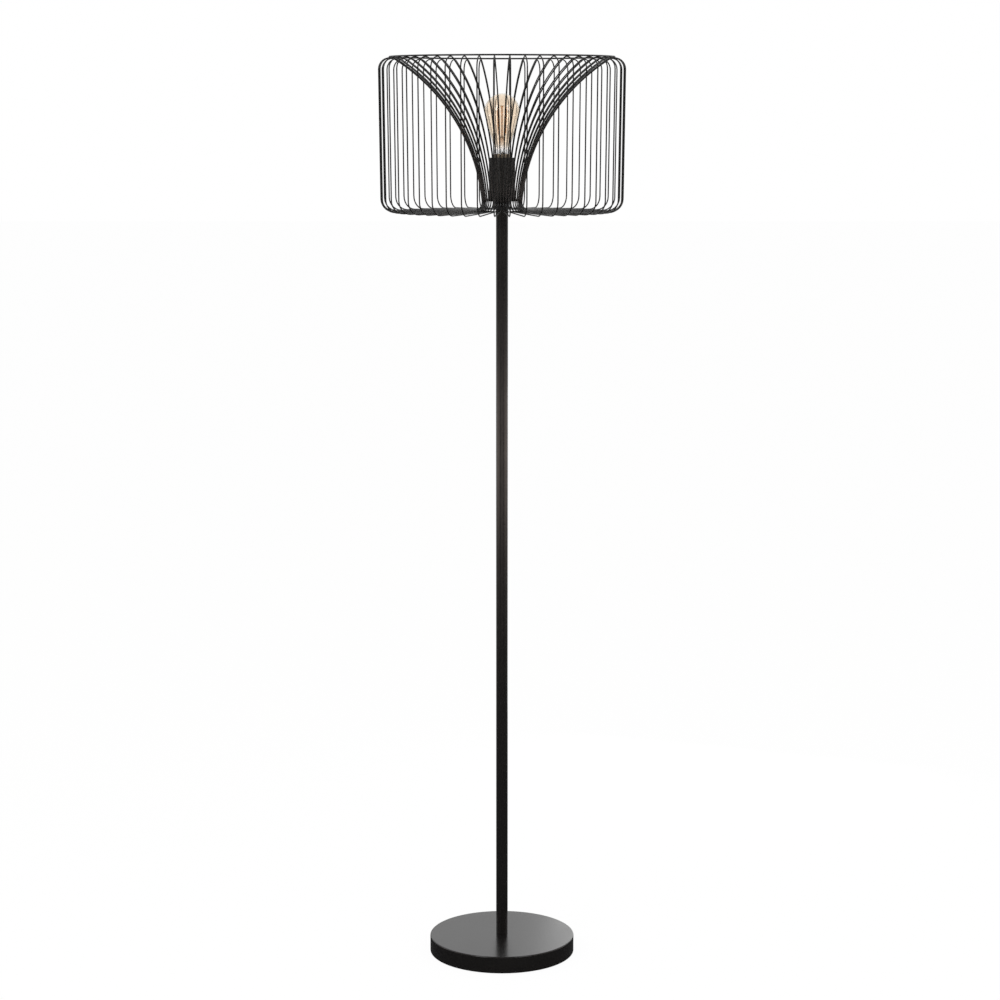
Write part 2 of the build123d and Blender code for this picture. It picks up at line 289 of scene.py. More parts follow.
def bead(x: float, z: float, sizes: Sequence[float]) -> Surface:
    """A small ellipsoid: its half sizes times (cos u cos v, cos u sin v, sin u), moved to its place.

    Args:
        x: Its middle's distance from the axis.
        z: Its middle's height.
        sizes: Its half sizes along X, Y and Z.

    Returns:
        The closed surface.
    """
    rows, columns = 6, 10
    u = np.linspace(-np.pi / 2, np.pi / 2, rows + 1)[:, None]
    v = 2 * np.pi * np.arange(columns)[None, :] / columns
    points = np.stack([np.cos(u) * np.cos(v), np.cos(u) * np.sin(v), np.sin(u) + 0 * v], -1)
    return grid(points * np.array(sizes)).moved(x, z)


# ---------------------------------------------------------------- finishes


def linear(code: str) -> tuple[float, float, float, float]:
    """The linear colour of an sRGB hex value, by the standard's own curve.

    Args:
        code: The colour as #rrggbb.

    Returns:
        Linear red, green, blue and an alpha of 1.
    """
    parts = np.array([int(code[i : i + 2], 16) / 255 for i in (1, 3, 5)])
    low = parts / 12.92
    high = ((parts + 0.055) / 1.055) ** 2.4
    red, green, blue = np.where(parts <= 0.04045, low, high)
    return float(red), float(green), float(blue), 1.0


def add_node(tree: Tree, kind: str, inputs: Inputs, **settings: Any) -> bpy.types.Node:
    """Adds a shader node.

    Args:
        tree: The material's node tree.
        kind: The node's type.
        inputs: Its inputs in order, or by name or number. Each is a socket to link, a node whose
            first output is linked, or a plain value.
        settings: The node's own properties.

    Returns:
        The new node.
    """
    made = tree.nodes.new(kind)
    for key, value in settings.items():
        setattr(made, key, value)
    for key, value in inputs.items() if isinstance(inputs, dict) else enumerate(inputs):
        if isinstance(value, bpy.types.Node):
            value = value.outputs[0]
        if isinstance(value, Socket):
            tree.links.new(value, made.inputs[key])
        else:
            made.inputs[key].default_value = value
    return made


@dataclass(frozen=True)
class Finish:
    """What every finish has: its name and slot, its two colours and how its surface is textured.

    Args:
        name: The real material's name.
        slot: The record's material slot that it belongs to. Not used.
        tone: Its first colour, as sRGB hex.
        other_tone: Its second colour.
        patch: The size of the mottling's patches, in millimetres.
        rough: The mean roughness.
        rough_swing: How far the roughness wanders to each side.
        grain: The size of the surface grain, in millimetres.
        grain_height: The grain's height, in millimetres.
    """

    name: str
    slot: Slot
    tone: str
    other_tone: str
    patch: float
    rough: float
    rough_swing: float
    grain: float
    grain_height: float

    def shader_values(self) -> dict[str, Any]:
        """The shader's constant inputs."""
        return {"Metallic": 0.0, "IOR": 1.5}

    def pattern(self, tree: Tree, place: Socket) -> Socket:
        """The share of the second tone: soft patches."""
        inputs = {"Vector": place, "Scale": 1 / (self.patch * MM), "Detail": 3.0}
        return add_node(tree, "ShaderNodeTexNoise", inputs).outputs["Fac"]

    def colour(self, tree: Tree, place: Socket) -> Socket:
        """The colour, mixed from both tones by the pattern's share."""
        inputs = {0: self.pattern(tree, place), 6: linear(self.tone), 7: linear(self.other_tone)}
        return add_node(tree, "ShaderNodeMix", inputs, data_type="RGBA").outputs[2]

    def height(self, tree: Tree, place: Socket) -> Socket:
        """The surface grain's height."""
        inputs = {"Vector": place, "Scale": 1 / (self.grain * MM), "Detail": 2.0}
        return add_node(tree, "ShaderNodeTexNoise", inputs).outputs["Fac"]

    def material(self) -> bpy.types.Material:
        """The finish as a material.

        Returns:
            The material, which is made at the first call.
        """
        known = bpy.data.materials.get(self.name)
        if known:
            return known
        made = bpy.data.materials.new(self.name)
        made.use_nodes = True
        tree = made.node_tree
        tree.nodes.clear()
        place = add_node(tree, "ShaderNodeTexCoord", ()).outputs["Object"]
        rough = self.rough
        if self.rough_swing:
            inputs = {"Vector": place, "Scale": WANDER / (self.patch * MM), "Detail": 2.0}
            cloud = add_node(tree, "ShaderNodeTexNoise", inputs).outputs["Fac"]
            limits = self.rough - self.rough_swing, self.rough + self.rough_swing
            rough = add_node(tree, "ShaderNodeMapRange", (cloud, *CLOUDY, *limits))
        grain, distance = self.height(tree, place), self.grain_height * MM
        bump = add_node(tree, "ShaderNodeBump", {"Height": grain, "Strength": 1.0, "Distance": distance})
        inputs = {"Base Color": self.colour(tree, place), "Roughness": rough, "Normal": bump}
        shader = add_node(tree, "ShaderNodeBsdfPrincipled", {**inputs, **self.shader_values()})
        add_node(tree, "ShaderNodeOutputMaterial", (shader,))
        return made


@dataclass(frozen=True)
class Metal(Finish):
    """A bare or plated metal."""

    def shader_values(self) -> dict[str, Any]:
        """A metal keeps the default IOR."""
        return {"Metallic": 1.0}


@dataclass(frozen=True)
class Glass(Finish):
    """Blown glass, whose body takes the first tone and whose outline takes the second as painted edge light
    at grazing angles.

    Args:
        clear_up_to: The height up to which the glass is clear, in millimetres.
        tinted_from: The height from which it has its full tint.
    """

    clear_up_to: float
    tinted_from: float

    def shader_values(self) -> dict[str, Any]:
        """Clear all through, with the index of soda-lime glass."""
        return {"Metallic": 0.0, "IOR": 1.5, "Transmission Weight": 1.0}

    def pattern(self, tree: Tree, place: Socket) -> Socket:
        """The share of the outline's tone: faint streaks, and all of it at grazing angles, which paints edge
        light and shade onto the glass.

        Args:
            tree: The material's node tree.
            place: The point's place on the object.

        Returns:
            The share's socket.
        """
        streaks, reach = 0.25, 0.35
        inputs = {"Vector": place, "Scale": 1 / (self.patch * MM), "Detail": 1.0}
        cloud = add_node(tree, "ShaderNodeTexNoise", inputs).outputs["Fac"]
        # Facing paints the outline's tone wherever the glass turns away from the camera: painted edge light,
        # not a tint of the glass itself.
        painted_edge_share = add_node(tree, "ShaderNodeLayerWeight", {"Blend": reach}).outputs["Facing"]
        sums = {"operation": "MULTIPLY_ADD", "use_clamp": True}
        return add_node(tree, "ShaderNodeMath", (cloud, streaks, painted_edge_share), **sums).outputs[0]

    def colour(self, tree: Tree, place: Socket) -> Socket:
        """The tint, which fades to clear below.

        Args:
            tree: The material's node tree.
            place: The point's place on the object.

        Returns:
            The colour's socket.
        """
        height = add_node(tree, "ShaderNodeSeparateXYZ", (place,)).outputs["Z"]
        limits = self.clear_up_to * MM, self.tinted_from * MM
        share = add_node(tree, "ShaderNodeMapRange", (height, *limits), **SOFT_STEP)
        inputs = {0: share, 6: WHITE, 7: super().colour(tree, place)}
        return add_node(tree, "ShaderNodeMix", inputs, data_type="RGBA").outputs[2]


@dataclass(frozen=True)
class Cast(Finish):
    """A cast mineral body, whose grains are cells that stand a little proud."""

    def height(self, tree: Tree, place: Socket) -> Socket:
        """The grains' height: the distance to each cell's middle."""
        inputs = {"Vector": place, "Scale": 1 / (self.grain * MM)}
        return add_node(tree, "ShaderNodeTexVoronoi", inputs).outputs["Distance"]


@dataclass(frozen=True)
class Banded(Finish):
    """A coating laid over a row of small chips, which shows as bands across a strip that stands upright.

    Args:
        pitch: The distance from chip to chip, in millimetres.
    """

    pitch: float = 1.6

    def pattern(self, tree: Tree, place: Socket) -> Socket:
        """The share of the second tone: a sine wave along Z, one wave for each chip."""
        inputs = {"Vector": place, "Scale": 2 * math.pi / (WAVE_RATE * self.pitch * MM), "Distortion": 0.3}
        return add_node(tree, "ShaderNodeTexWave", inputs, bands_direction="Z").outputs["Fac"]


# After the two tones: the mottling's size, the roughness and its swing, the grain's size and its height.

# Black polyester powder coat on steel: a satin skin with a soft, broad gloss and a faint orange peel.
# The real peel is under 1 mm across. It is drawn at 2.5 mm so that it shows in a close view.
POWDER_COAT = Finish(
    "black_powder_coat", Slot.BLACK_ENAMEL, "#0e0d0d", "#141312", 45.0, 0.23, 0.02, 2.5, 0.004
)
# The same coat on thin wire, where it runs smoother and its gloss is a little more uneven.
WIRE_COAT = Finish(
    "black_powder_coat_on_wire", Slot.BLACK_ENAMEL, "#090909", "#0e0e0e", 30.0, 0.26, 0.04, 1.6, 0.003
)
# Black satin lacquer on the lamp holder's cup: a little greyer and duller than the powder coat.
SATIN_LACQUER = Finish(
    "black_satin_lacquer", Slot.BLACK_ENAMEL, "#1a1918", "#201f1d", 20.0, 0.36, 0.03, 1.2, 0.003
)
# Moulded nitrile rubber: dull, greyish black, with a fine grain.
RUBBER = Finish("black_rubber", Slot.RUBBER, "#1d1d1d", "#272727", 18.0, 0.85, 0.05, 0.8, 0.03)
# Moulded phenolic plastic: black, with the low even gloss of a steel mould.
PHENOLIC = Finish(
    "black_phenolic_plastic", Slot.BLACK_PLASTIC, "#131313", "#1a1919", 12.0, 0.45, 0.05, 0.6, 0.008
)
# Cement filling: pale grey, matt and sandy, with grains of about 1 mm.
CEMENT = Cast("cement_filling", Slot.CEMENT, "#86827a", "#a39f96", 6.0, 0.95, 0.03, 1.2, 0.15)
# Zinc-plated steel: bluish silver with a soft, slightly cloudy gloss.
ZINC = Metal("zinc_plated_steel", Slot.ZINC_STEEL, "#9ba0a6", "#b9bdc1", 4.0, 0.36, 0.08, 0.5, 0.004)
# Drawn brass: warm yellow with a satin gloss.
BRASS = Metal("drawn_brass", Slot.BRASS, "#b0914e", "#c9a960", 5.0, 0.30, 0.06, 0.5, 0.003)
# Antiqued brass of the bulb's cap: brown, with brighter patches where it is rubbed.
ANTIQUE_BRASS = Metal("antiqued_brass", Slot.NICKEL_CAP, "#7d7264", "#b5a995", 2.5, 0.44, 0.08, 0.6, 0.004)
# Nickel wire: grey and fairly bright.
NICKEL = Metal("drawn_nickel", Slot.NICKEL_WIRE, "#8f8c86", "#aaa7a0", 2.0, 0.28, 0.05, 0.4, 0.002)
# Tin solder: a soft grey drop with a dull skin.
SOLDER = Metal("tin_solder", Slot.SOLDER, "#8d8f92", "#b4b6b8", 1.5, 0.42, 0.08, 0.8, 0.03)
# Black vitrite, the glass ring that insulates the cap: almost black and glossy.
VITRITE = Finish("black_vitrite", Slot.CAP_GLASS, "#0d0d10", "#17171b", 3.0, 0.12, 0.03, 1.0, 0.01)
# PVC jacket of the inner lead: dull black.
PVC = Finish("black_pvc_jacket", Slot.LEAD_JACKET, "#191919", "#222222", 10.0, 0.55, 0.05, 0.7, 0.01)
# Amber glass of the bulb: a pale pinkish honey tint from inside, which fades out in its neck. Its outline
# takes the paler, creamy tone at grazing angles, as a painted sheen along the glass's edges.
AMBER_GLASS = Glass(
    "amber_blown_glass", Slot.AMBER_GLASS, "#f7e9da", "#fef9ec", 14.0, 0.0, 0.0, 9.0, 0.003,
    clear_up_to=1518.0, tinted_from=1536.0,
)
# Lead glass of the stem: clear at its flare, and browned above the pinch, where the flame smoked it.
# Its darker second tone takes over at grazing angles, as painted shade along the stem's edges.
STEM_GLASS = Glass(
    "smoked_stem_glass", Slot.CLEAR_GLASS, "#b3844c", "#94652f", 8.0, 0.02, 0.01, 4.0, 0.01,
    clear_up_to=1526.0, tinted_from=1552.0,
)
# Phosphor silicone over the filament's chips, unlit: ochre brown and matt.
PHOSPHOR = Banded("phosphor_silicone", Slot.FILAMENT, "#976330", "#bb8848", 1.0, 0.6, 0.05, 0.8, 0.02)


def make_piece(
    name: str,
    surface: Surface,
    finish: Finish,
    stands_for: str = "",
    body: Body = Body.LAMP,
    sharp: float = 35.0,
) -> None:
    """Turns a surface into a piece that rides on a body.

    Args:
        name: The piece's name.
        surface: Its mesh in millimetres.
        finish: Its finish.
        stands_for: The CAD node that it replaces, if any.
        body: The body that it moves with.
        sharp: Edges that turn by more than this many degrees stay sharp.
    """
    mesh = bpy.data.meshes.new(name)
    faces = len(surface.quads)
    mesh.vertices.add(len(surface.points))
    mesh.vertices.foreach_set("co", (surface.points * MM).astype(np.float32).ravel())
    mesh.loops.add(4 * faces)
    mesh.loops.foreach_set("vertex_index", surface.quads.astype(np.int32).ravel())
    mesh.polygons.add(faces)
    mesh.polygons.foreach_set("loop_start", 4 * np.arange(faces, dtype=np.int32))
    mesh.update(calc_edges=True)
    mesh.validate()
    shell = bmesh.new()
    shell.from_mesh(mesh)
    bmesh.ops.remove_doubles(shell, verts=shell.verts, dist=MERGE_DISTANCE)
    shell.to_mesh(mesh)
    shell.free()
    mesh.polygons.foreach_set("use_smooth", np.ones(len(mesh.polygons), bool))
    mesh.set_sharp_from_angle(angle=math.radians(sharp))
    mesh.materials.append(finish.material())
    piece = bpy.data.objects.new(name, mesh)
    bpy.context.scene.collection.objects.link(piece)
    piece.modifiers.new("flat_faces_stay_flat", "WEIGHTED_NORMAL").keep_sharp = True
    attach(piece, body.value)
    if stands_for:
        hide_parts(stands_for)
    triangles = sum(len(face.vertices) - 2 for face in mesh.polygons)
    log.info("%s: %d triangles, on body %s", name, triangles, body.value)


# ---------------------------------------------------------------- foot


@dataclass
class Foot:
    """The round foot: a drawn steel pan, its rubber pad and the cable bush in its rear wall.

    Args:
        radius: The pan's outer radius.
        sheet: The pan's sheet thickness.
        top_round: The radius of the pan's top edge.
        rim_round: The radius at which the wall turns in at the bottom.
        rim_width: How far the turned-in rim reaches in.
        stud_hole: The radius of the hole for the threaded stud.
        segments: The number of flats round the pan.
        heights: The heights of the pan's bottom and top.
        pad_radius: The radius of the pad.
        pad_height: The pad's thickness.
        bush_hole: The radius of the hole for the bush.
        bush_level: The height of its axis.
        window: The number of points along each side of the window round that hole.
    """

    radius: float = 137.0
    sheet: float = 1.2
    top_round: float = 2.2
    rim_round: float = 1.5
    rim_width: float = 2.6
    stud_hole: float = 5.1
    segments: int = 240
    heights: tuple[float, float] = heights_of("base_pan")
    pad_radius: float = 129.0
    pad_height: float = heights_of("base_pad")[1]
    bush_hole: float = 4.8
    bush_level: float = sum(heights_of("cable_bush")) / 2
    window: int = 5

    def pan(self) -> Surface:
        """The pan: a lathe of its sheet, less a window in the rear wall that a pierced patch fills.

        Returns:
            The closed surface.
        """
        bottom, top = self.heights
        inner, rim = self.radius - self.sheet, self.radius - self.rim_width
        outside = [
            (self.stud_hole, top, 0),
            (self.radius, top, self.top_round),
            (self.radius, bottom, self.rim_round),
            (rim, bottom, 0.2),
            (rim, bottom + self.sheet, 0),
        ]
        inside = [
            (rim, bottom + self.sheet, 0),
            (inner, bottom + self.sheet, 0.4),
            (inner, top - self.sheet, self.top_round - self.sheet),
            (self.stud_hole, top - self.sheet, 0),
        ]
        out, within = rounded(outside, 7, closed=False), rounded(inside, 5, closed=False)
        margin = 1.5
        levels = self.bush_level + np.linspace(1, -1, self.window) * (self.bush_hole + margin)
        split_out = int(np.argmax(out.imag < levels[0]))
        split_in = int(np.argmax(within.imag > levels[0]))
        wall_out, wall_in = self.radius + 1j * levels, inner + 1j * levels[::-1]
        outer = [out[:split_out], wall_out, out[split_out:]]
        inner_wall = [within[1:split_in], wall_in, within[split_in:]]
        whole = lathe(np.concatenate(outer + inner_wall), self.segments)
        return self.pierced(whole, split_out, len(out) + self.window + split_in - 1)

    def pierced(self, whole: Surface, row_out: int, row_in: int) -> Surface:
        """Cuts the window's faces out and fills it with a patch that has the bush's hole in it.

        The patch is a grid of four loops: the window's edge outside, the hole outside, the hole
        inside and the window's edge inside. A loop's points lie at the same angles about the
        hole's middle.

        Args:
            whole: The pan without its hole.
            row_out: The first of the window's profile rows on the outer wall.
            row_in: The first of them on the inner wall.

        Returns:
            The pan with its hole.
        """
        last = self.window - 1
        left = self.segments // 4 - last // 2
        right = left + last
        rows, columns = np.divmod(whole.quads, self.segments)
        inside = ((columns >= left) & (columns <= right)).all(1)
        along, between = np.arange(last + 1), np.arange(1, last)
        edge_rows = np.concatenate([0 * along, between, 0 * along + last, between[::-1]])
        edge_columns = np.concatenate([along, 0 * between + last, along[::-1], 0 * between]) + left
        cut = np.zeros(len(whole.quads), bool)
        edges = []
        for first in (row_out, row_in):
            cut |= inside & ((rows >= first) & (rows <= first + last)).all(1)
            edges.append(whole.points[(first + edge_rows) * self.segments + edge_columns])
        spokes = [edge[:, 0] + 1j * (edge[:, 2] - self.bush_level) for edge in edges]
        way, way_in = (spoke / abs(spoke) for spoke in spokes)
        match = np.argmin(abs(way_in[None, :] - way[:, None]), axis=1)
        ring = way * self.bush_hole
        holes = [
            np.stack([ring.real, np.sqrt(wall**2 - ring.real**2), ring.imag + self.bush_level], -1)
            for wall in (self.radius, self.radius - self.sheet)
        ]
        patch = grid(np.stack([edges[0], *holes, edges[1][match]]))
        a, b, c = patch.points[patch.quads[0][:3]]
        faces_rear = np.cross(b - a, c - b)[1] >= 0
        return Surface(whole.points, whole.quads[~cut]) + (patch if faces_rear else patch.flipped())

    def pad(self) -> Surface:
        """The pad: a disc with a rounded edge and shallow rings pressed into its underside.

        Returns:
            The closed surface.
        """
        top, edge, depth = self.pad_height, self.pad_radius, 0.6
        outermost, innermost, count = 110, 20, 6
        middles = np.linspace(outermost, innermost, count)
        section = (3, 0), (2, depth), (-2, depth), (-3, 0)
        rings = [(middle + x, z, 0.2) for middle in middles for x, z in section]
        corners = [(0, top, 0), (edge, top, 0.6), (edge, 0, 0.9), *rings, (0, 0, 0)]
        return lathe(rounded(corners, 3, closed=False), segments=144, closed=False)

    def bush(self) -> Surface:
        """The bush: a lathe about the hole's own axis, laid down so that its flange faces the rear.

        Returns:
            The closed surface.
        """
        front, rear = (corner.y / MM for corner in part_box("cable_bush"))
        gap, flange, neck, bore = 0.1, 6.5, 4.7, 3.2
        seat = self.radius + gap
        corners = [
            (bore, rear, 0.7),
            (flange, rear, 0.9),
            (flange, seat, 0.2),
            (neck, seat, 0.2),
            (neck, front, 0.4),
            (bore, front, 0.3),
        ]
        upright = lathe(rounded(corners, 5), segments=64)
        return Surface(upright.points[:, [0, 2, 1]], upright.quads).flipped().moved(z=self.bush_level)

    def build(self) -> None:
        """Makes the foot's pieces."""
        make_piece("foot_pan", self.pan(), POWDER_COAT, "base_pan")
        make_piece("foot_pad", self.pad(), RUBBER, "base_pad")
        make_piece("foot_cable_bush", self.bush(), PHENOLIC, "cable_bush")


# ---------------------------------------------------------------- pole


@dataclass
class Pole:
    """The pole: three tubes end to end and a turned collar under the cage.

    Args:
        radius: The tubes' outer radius.
        wall: Their wall.
        edge: The rounding of each tube's ends.
        collar_radius: The collar's outer radius.
        collar_edge: The rounding of the collar's edges.
        collar_bore: The radius of the collar's bore.
        segments: The number of flats round each piece.
    """

    radius: float = 11.0
    wall: float = 1.2
    edge: float = 0.12
    collar_radius: float = 11.9
    collar_edge: float = 0.5
    collar_bore: float = 5.1
    segments: int = 96

    def build(self) -> None:
        """Makes the pole's pieces."""
        for section in ("lower", "middle", "upper"):
            node = f"pole_{section}"
            heights, inner = heights_of(node), self.radius - self.wall
            tube_section = hollow(self.radius, inner, heights, self.edge, self.segments)
            make_piece(f"pole_tube_{section}", tube_section, POWDER_COAT, node)
        heights = heights_of("pole_collar")
        collar = hollow(self.collar_radius, self.collar_bore, heights, self.collar_edge, self.segments)
        make_piece("pole_turned_collar", collar, POWDER_COAT, "pole_collar")


# ---------------------------------------------------------------- cage


@dataclass
class Cage:
    """The cage: closed wire loops in radial planes, the ring on top of them and the plate at their neck.

    Args:
        count: The number of loops.
        wire: The wire's radius.
        radius: The outer radius of the cage.
        height: The cage's height without the ring.
        neck: The radius of the loops' centreline at the plate.
        run_lean: How far the outer run leans in towards its foot, in degrees.
        funnel_slope: The funnel's slope at the top, in degrees.
        neck_slope: Its slope at the neck.
        floor_slope: How far the floor rises to the middle.
        bends: The radii of the five bends: two at the shoulder, then funnel, neck and floor.
        inset: How far the round wire's centreline stands inside the square one's.
        ring_wire: The ring wire's radius.
        ring_heights: The heights of the ring's underside and top.
        plate_heights: The heights of the plate's underside and top.
        plate_edge: The rounding of the plate's edges.
        plate_bore: The radius of the plate's bore.
    """

    count: int = 48
    wire: float = 1.2
    radius: float = 225.0
    height: float = 280.0
    neck: float = 36.4
    run_lean: float = 0.65
    funnel_slope: float = 34.5
    neck_slope: float = 84.0
    floor_slope: float = 1.0
    bends: tuple[float, ...] = (20.0, 20.0, 340.0, 15.0, 24.0)
    inset: float = 0.06
    ring_wire: float = 1.5
    ring_heights: tuple[float, float] = heights_of("cage_top_ring")
    plate_heights: tuple[float, float] = heights_of("fitter_plate")
    plate_edge: float = 0.5
    plate_bore: float = 5.1

    @property
    def half_side(self) -> float:
        """Half the side of the square wire that the solids have in place of the round one."""
        return self.wire * math.sqrt(math.pi) / 2

    @property
    def shoulder(self) -> complex:
        """The sharp corner of the centreline above the outer run."""
        return complex(self.radius - self.half_side - self.inset, self.ring_heights[0] - self.half_side)

    @property
    def apex(self) -> complex:
        """The centre of the shoulder bend, straight under the ring."""
        return self.shoulder - complex(self.bends[0], self.bends[0])

    def centreline(self, steps: int = 7) -> np.ndarray:
        """A loop's centreline: five straight runs whose crossings are rounded.

        The distance along a run to its crossing with the next is the cross product of the gap
        between their starts and the next way, over the cross product of both ways.

        Args:
            steps: The number of flats in each bend. The wide funnel bend gets three times as many.

        Returns:
            The profile round the closed loop.
        """
        lean = np.exp(-1j * math.radians(self.run_lean))
        slope = np.exp(1j * math.radians(self.funnel_slope))
        starts = np.array(
            [
                self.apex + self.bends[0] * lean,
                self.shoulder,
                self.apex + self.bends[0] * 1j * slope,
                complex(self.neck, self.plate_heights[0]),
                self.shoulder - 1j * (self.height - 2 * self.half_side),
            ]
        )
        angles = np.radians([90 - self.run_lean, 0, self.funnel_slope, self.neck_slope, -self.floor_slope])
        ways = np.exp(1j * angles)
        gap, next_way = np.roll(starts, -1) - starts, np.roll(ways, -1)
        corners = starts + ways * (gap.conj() * next_way).imag / (ways.conj() * next_way).imag
        rows = np.column_stack([corners.real, corners.imag, self.bends])
        coarse, fine = (rounded(rows, number).reshape(len(rows), -1) for number in (steps, 3 * steps))
        funnel = int(np.argmax(self.bends))
        return np.concatenate([*coarse[:funnel], fine[funnel], *coarse[funnel + 1 :]])

    def loops(self, sides: int = 10) -> Surface:
        """All the loops.

        A point is the centreline plus the wire's radius times (in-plane normal cos t + Y sin t).

        Args:
            sides: The number of points round the wire.

        Returns:
            One surface that holds every loop.
        """
        path = self.centreline()
        path = path[abs(path - np.roll(path, 1)) > NEAR_POINTS]
        back, ahead = path - np.roll(path, 1), np.roll(path, -1) - path
        way = back / abs(back) + ahead / abs(ahead)
        normal = 1j * way / abs(way)
        t = 2 * np.pi * np.arange(sides) / sides
        flat = path[:, None] + self.wire * normal[:, None] * np.cos(t)[None, :]
        side = np.broadcast_to(self.wire * np.sin(t), flat.shape)
        one = grid(np.stack([flat.real, side, flat.imag], -1), close_rows=True)
        return one.around_z(self.count, 180 / self.count)

    def ring(self) -> Surface:
        """The ring: a circle of wire section turned about the axis over the loops' highest points.

        Returns:
            The closed surface.
        """
        sides = 16
        t = 2 * np.pi * np.arange(sides) / sides
        middle = complex(self.apex.real, self.ring_heights[1] - self.ring_wire)
        return lathe(middle + self.ring_wire * np.exp(1j * t), segments=288)

    def plate(self) -> Surface:
        """The plate: a disc with a bore, its edge pressed a little into the inside of the loops.

        Returns:
            The closed surface.
        """
        press = 0.25
        edge = self.neck - self.wire / math.sin(math.radians(self.neck_slope)) + press
        return hollow(edge, self.plate_bore, self.plate_heights, self.plate_edge, segments=192)

    def welds(self) -> Surface:
        """The weld beads: one where each loop meets the ring, and one where it meets the plate.

        Returns:
            One surface that holds every bead.
        """
        bottom, top = self.plate_heights
        lean = (top - bottom) / 2 / math.tan(math.radians(self.neck_slope))
        sizes, rise, inset = (1.9, 1.7, 0.9), 0.1, 1.1
        at_ring = bead(self.apex.real, self.ring_heights[0] + rise, sizes)
        at_plate = bead(self.neck + lean - inset, (top + bottom) / 2, sizes[::-1])
        return (at_ring + at_plate).around_z(self.count, 180 / self.count)

    def build(self) -> None:
        """Makes the cage's pieces."""
        make_piece("cage_wire_loops", self.loops(), WIRE_COAT, "cage_wires", sharp=80)
        make_piece("cage_ring", self.ring(), WIRE_COAT, "cage_top_ring", sharp=80)
        make_piece("cage_fitter_disc", self.plate(), POWDER_COAT, "fitter_plate")
        make_piece("cage_weld_beads", self.welds(), WIRE_COAT, sharp=80)


# ---------------------------------------------------------------- lamp holder


THREAD_PITCH = 3.629
THREAD_DEPTH = 0.95


def rolled_thread(profile: np.ndarray, segments: int, low: float, high: float) -> np.ndarray:
    """The relief of a rolled round thread.

    The relief is a cosine of (height / pitch - turn), from 0 at the crest to minus the depth at
    the root, and fades in over one pitch from each end.

    Args:
        profile: The profile that is turned.
        segments: The number of angles.
        low: The thread's lower end.
        high: Its upper end.

    Returns:
        Rows of profile points by columns of angles.
    """
    height = profile.imag[:, None]
    turn = np.arange(segments)[None, :] / segments
    near = np.clip(np.minimum(height - low, high - height) / THREAD_PITCH, 0, 1)
    fade = near**2 * (3 - 2 * near)
    return -THREAD_DEPTH * fade * (0.5 - 0.5 * np.cos(2 * np.pi * (height / THREAD_PITCH - turn)))


@dataclass
class LampHolder:
    """The lamp holder: a plain steel cup round a moulded core that holds the threaded shell.

    Args:
        radius: The cup's outer radius.
        sheet: The cup's sheet.
        lip: The rounding of the cup's rim.
        corner: The radius at the cup's bottom.
        bore: The radius of the hole in its floor.
        core_radius: The core's outer radius.
        socket: The inner radius of the threaded shell.
        shell_sheet: The shell's sheet.
    """

    radius: float = 24.0
    sheet: float = 1.0
    lip: float = 0.4
    corner: float = 0.8
    bore: float = 5.1
    core_radius: float = 19.5
    socket: float = 13.4
    shell_sheet: float = 0.4

    def cup(self) -> Surface:
        """The cup: its sheet's profile with rounded edges, turned about the axis.

        Returns:
            The closed surface.
        """
        bottom, top = heights_of("holder_sleeve")
        inner = self.radius - self.sheet
        corners = [
            (self.bore, bottom, 0.1),
            (self.radius, bottom, self.corner),
            (self.radius, top, self.lip),
            (inner, top, self.lip),
            (inner, bottom + self.sheet, 0.3),
            (self.bore, bottom + self.sheet, 0.1),
        ]
        return lathe(rounded(corners, 5), segments=128)

    def core(self) -> Surface:
        """The core: a thick moulded cup with a chamfered mouth.

        Returns:
            The closed surface.
        """
        bottom, top = heights_of("holder_core")
        floor = heights_of("holder_shell")[0]
        chamfer, gap = 1.2, 0.05
        inner = self.socket + self.shell_sheet + gap
        corners = [
            (0, bottom, 0),
            (self.core_radius, bottom, 0.6),
            (self.core_radius, top, 0.8),
            (inner + chamfer, top, 0.3),
            (inner, top - chamfer, 0.3),
            (inner, floor, 0.3),
            (0, floor, 0),
        ]
        return lathe(rounded(corners, 4, closed=False), segments=96, closed=False)

    def shell(self) -> Surface:
        """The threaded shell: a sleeve of rolled sheet whose two faces follow the same thread.

        Returns:
            The closed surface.
        """
        bottom, top = heights_of("holder_shell")
        rows, segments = 61, 96
        up = np.linspace(bottom, top, rows)
        profile = np.concatenate([self.socket + self.shell_sheet + 1j * up, self.socket + 1j * up[::-1]])
        return lathe(profile, segments, relief=rolled_thread(profile, segments, bottom, top))

    def build(self) -> None:
        """Makes the holder's pieces."""
        make_piece("holder_cup", self.cup(), SATIN_LACQUER, "holder_sleeve")
        make_piece("holder_moulded_core", self.core(), PHENOLIC, "holder_core")
        make_piece("holder_threaded_shell", self.shell(), BRASS, "holder_shell")


# ---------------------------------------------------------------- bulb


